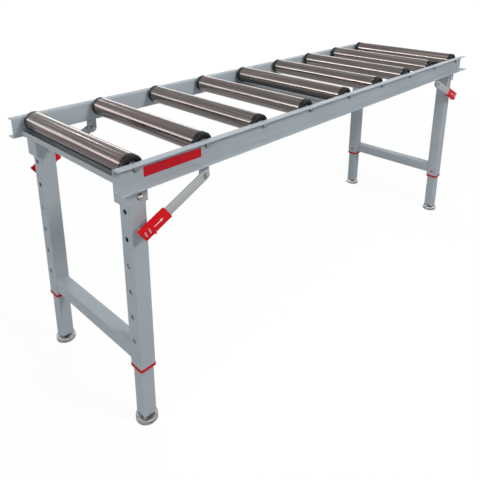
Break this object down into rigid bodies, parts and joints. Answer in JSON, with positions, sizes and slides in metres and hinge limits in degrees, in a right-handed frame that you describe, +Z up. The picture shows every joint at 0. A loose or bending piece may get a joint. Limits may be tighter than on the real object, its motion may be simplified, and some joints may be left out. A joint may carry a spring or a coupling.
{
  "type": "folding roller stand",
  "caption": "Long roller stand: channel rails carry free-turning steel rollers on fixed axles, on folding leg frames with braces, telescopic legs and levelling feet.",
  "frame": {"origin": "on the floor, below the middle of the stand", "axes": "+X along the rails to the right, +Y across them to the far side, +Z up"},
  "size_m": [2, 0.626, 0.836],
  "materials": {
    "grey_paint": "satin",
    "brace_grey": "satin",
    "bright_zinc": "bright zinc",
    "roller_steel": "drawn tube",
    "red_plastic": "satin"
  },
  "bodies": {
    "bed": {"near_side_rail": "grey_paint", "far_side_rail": "grey_paint", "left_end_tie": "grey_paint", "right_end_tie": "grey_paint", "middle_tie": "grey_paint", "roller_axle_1": "bright_zinc", "roller_axle_2": "bright_zinc", "roller_axle_3": "bright_zinc", "roller_axle_4": "bright_zinc", "roller_axle_5": "bright_zinc", "roller_axle_6": "bright_zinc", "roller_axle_7": "bright_zinc", "roller_axle_8": "bright_zinc", "roller_axle_9": "bright_zinc", "near_left_hinge_bolt": "bright_zinc", "far_left_hinge_bolt": "bright_zinc", "near_right_hinge_bolt": "bright_zinc", "far_right_hinge_bolt": "bright_zinc", "near_left_brace_pivot_bolt": "bright_zinc", "far_left_brace_pivot_bolt": "bright_zinc", "near_right_brace_pivot_bolt": "bright_zinc", "far_right_brace_pivot_bolt": "bright_zinc"},
    "roller_1": {"roller_1": "roller_steel"},
    "roller_2": {"roller_2": "roller_steel"},
    "roller_3": {"roller_3": "roller_steel"},
    "roller_4": {"roller_4": "roller_steel"},
    "roller_5": {"roller_5": "roller_steel"},
    "roller_6": {"roller_6": "roller_steel"},
    "roller_7": {"roller_7": "roller_steel"},
    "roller_8": {"roller_8": "roller_steel"},
    "roller_9": {"roller_9": "roller_steel"},
    "left_legs": {"left_leg_frame": "grey_paint", "near_left_glide_collar": "red_plastic", "far_left_glide_collar": "red_plastic"},
    "right_legs": {"right_leg_frame": "grey_paint", "near_right_glide_collar": "red_plastic", "far_right_glide_collar": "red_plastic"},
    "near_left_inner_leg": {"near_left_inner_leg": "grey_paint"},
    "near_left_spring_button": {"near_left_spring_button": "bright_zinc"},
    "near_left_levelling_foot": {"near_left_levelling_foot": "bright_zinc"},
    "near_left_brace_bar": {"near_left_brace_bar": "brace_grey"},
    "near_left_brace_grip": {"near_left_brace_grip": "red_plastic"},
    "far_left_inner_leg": {"far_left_inner_leg": "grey_paint"},
    "far_left_spring_button": {"far_left_spring_button": "bright_zinc"},
    "far_left_levelling_foot": {"far_left_levelling_foot": "bright_zinc"},
    "far_left_brace_bar": {"far_left_brace_bar": "brace_grey"},
    "far_left_brace_grip": {"far_left_brace_grip": "red_plastic"},
    "near_right_inner_leg": {"near_right_inner_leg": "grey_paint"},
    "near_right_spring_button": {"near_right_spring_button": "bright_zinc"},
    "near_right_levelling_foot": {"near_right_levelling_foot": "bright_zinc"},
    "near_right_brace_bar": {"near_right_brace_bar": "brace_grey"},
    "near_right_brace_grip": {"near_right_brace_grip": "red_plastic"},
    "far_right_inner_leg": {"far_right_inner_leg": "grey_paint"},
    "far_right_spring_button": {"far_right_spring_button": "bright_zinc"},
    "far_right_levelling_foot": {"far_right_levelling_foot": "bright_zinc"},
    "far_right_brace_bar": {"far_right_brace_bar": "brace_grey"},
    "far_right_brace_grip": {"far_right_brace_grip": "red_plastic"}
  },
  "joints": [
    {"name": "roller_1_spin", "type": "hinge", "parent": "bed", "child": "roller_1", "pos_m": [-0.936, 0, 0.805], "axis": [0, 1, 0], "continuous": true},
    {"name": "roller_2_spin", "type": "hinge", "parent": "bed", "child": "roller_2", "pos_m": [-0.702, 0, 0.805], "axis": [0, 1, 0], "continuous": true},
    {"name": "roller_3_spin", "type": "hinge", "parent": "bed", "child": "roller_3", "pos_m": [-0.468, 0, 0.805], "axis": [0, 1, 0], "continuous": true},
    {"name": "roller_4_spin", "type": "hinge", "parent": "bed", "child": "roller_4", "pos_m": [-0.234, 0, 0.805], "axis": [0, 1, 0], "continuous": true},
    {"name": "roller_5_spin", "type": "hinge", "parent": "bed", "child": "roller_5", "pos_m": [0, 0, 0.805], "axis": [0, 1, 0], "continuous": true},
    {"name": "roller_6_spin", "type": "hinge", "parent": "bed", "child": "roller_6", "pos_m": [0.234, 0, 0.805], "axis": [0, 1, 0], "continuous": true},
    {"name": "roller_7_spin", "type": "hinge", "parent": "bed", "child": "roller_7", "pos_m": [0.468, 0, 0.805], "axis": [0, 1, 0], "continuous": true},
    {"name": "roller_8_spin", "type": "hinge", "parent": "bed", "child": "roller_8", "pos_m": [0.702, 0, 0.805], "axis": [0, 1, 0], "continuous": true},
    {"name": "roller_9_spin", "type": "hinge", "parent": "bed", "child": "roller_9", "pos_m": [0.936, 0, 0.805], "axis": [0, 1, 0], "continuous": true},
    {"name": "left_legs_fold", "type": "hinge", "parent": "bed", "child": "left_legs", "pos_m": [-0.922, 0, 0.722], "axis": [0, -1, 0], "range_deg": [0, 90]},
    {"name": "right_legs_fold", "type": "hinge", "parent": "bed", "child": "right_legs", "pos_m": [0.922, 0, 0.722], "axis": [0, 1, 0], "range_deg": [0, 90]},
    {"name": "near_left_brace_swing", "type": "hinge", "parent": "bed", "child": "near_left_brace_bar", "pos_m": [-0.725, -0.295, 0.727], "axis": [0, 1, 0], "range_deg": [0, 25]},
    {"name": "near_left_grip_slide", "type": "slide", "parent": "near_left_brace_bar", "child": "near_left_brace_grip", "axis": [0.9063, 0, 0.4226], "range_m": [0, 0.012], "stiffness_N_per_m": 800, "springref_m": -0.01},
    {"name": "near_left_leg_height", "type": "slide", "parent": "left_legs", "child": "near_left_inner_leg", "axis": [0, 0, 1], "range_m": [-0.158, 0.158]},
    {"name": "near_left_button_press", "type": "slide", "parent": "near_left_inner_leg", "child": "near_left_spring_button", "axis": [1, 0, 0], "range_m": [0, 0.004], "stiffness_N_per_m": 1500, "springref_m": -0.004},
    {"name": "near_left_foot_level", "type": "slide", "parent": "near_left_inner_leg", "child": "near_left_levelling_foot", "axis": [0, 0, -1], "range_m": [0, 0.015]},
    {"name": "far_left_brace_swing", "type": "hinge", "parent": "bed", "child": "far_left_brace_bar", "pos_m": [-0.725, 0.295, 0.727], "axis": [0, 1, 0], "range_deg": [0, 25]},
    {"name": "far_left_grip_slide", "type": "slide", "parent": "far_left_brace_bar", "child": "far_left_brace_grip", "axis": [0.9063, 0, 0.4226], "range_m": [0, 0.012], "stiffness_N_per_m": 800, "springref_m": -0.01},
    {"name": "far_left_leg_height", "type": "slide", "parent": "left_legs", "child": "far_left_inner_leg", "axis": [0, 0, 1], "range_m": [-0.158, 0.158]},
    {"name": "far_left_button_press", "type": "slide", "parent": "far_left_inner_leg", "child": "far_left_spring_button", "axis": [1, 0, 0], "range_m": [0, 0.004], "stiffness_N_per_m": 1500, "springref_m": -0.004},
    {"name": "far_left_foot_level", "type": "slide", "parent": "far_left_inner_leg", "child": "far_left_levelling_foot", "axis": [0, 0, -1], "range_m": [0, 0.015]},
    {"name": "near_right_brace_swing", "type": "hinge", "parent": "bed", "child": "near_right_brace_bar", "pos_m": [0.725, -0.295, 0.727], "axis": [0, -1, 0], "range_deg": [0, 25]},
    {"name": "near_right_grip_slide", "type": "slide", "parent": "near_right_brace_bar", "child": "near_right_brace_grip", "axis": [-0.9063, 0, 0.4226], "range_m": [0, 0.012], "stiffness_N_per_m": 800, "springref_m": -0.01},
    {"name": "near_right_leg_height", "type": "slide", "parent": "right_legs", "child": "near_right_inner_leg", "axis": [0, 0, 1], "range_m": [-0.158, 0.158]},
    {"name": "near_right_button_press", "type": "slide", "parent": "near_right_inner_leg", "child": "near_right_spring_button", "axis": [-1, 0, 0], "range_m": [0, 0.004], "stiffness_N_per_m": 1500, "springref_m": -0.004},
    {"name": "near_right_foot_level", "type": "slide", "parent": "near_right_inner_leg", "child": "near_right_levelling_foot", "axis": [0, 0, -1], "range_m": [0, 0.015]},
    {"name": "far_right_brace_swing", "type": "hinge", "parent": "bed", "child": "far_right_brace_bar", "pos_m": [0.725, 0.295, 0.727], "axis": [0, -1, 0], "range_deg": [0, 25]},
    {"name": "far_right_grip_slide", "type": "slide", "parent": "far_right_brace_bar", "child": "far_right_brace_grip", "axis": [-0.9063, 0, 0.4226], "range_m": [0, 0.012], "stiffness_N_per_m": 800, "springref_m": -0.01},
    {"name": "far_right_leg_height", "type": "slide", "parent": "right_legs", "child": "far_right_inner_leg", "axis": [0, 0, 1], "range_m": [-0.158, 0.158]},
    {"name": "far_right_button_press", "type": "slide", "parent": "far_right_inner_leg", "child": "far_right_spring_button", "axis": [-1, 0, 0], "range_m": [0, 0.004], "stiffness_N_per_m": 1500, "springref_m": -0.004},
    {"name": "far_right_foot_level", "type": "slide", "parent": "far_right_inner_leg", "child": "far_right_levelling_foot", "axis": [0, 0, -1], "range_m": [0, 0.015]}
  ],
  "couplings": [
    {"joint": "near_left_brace_swing", "follows": "left_legs_fold", "ratio": 0.2777},
    {"joint": "far_left_brace_swing", "follows": "left_legs_fold", "ratio": 0.2777},
    {"joint": "near_right_brace_swing", "follows": "right_legs_fold", "ratio": 0.2777},
    {"joint": "far_right_brace_swing", "follows": "right_legs_fold", "ratio": 0.2777}
  ]
}
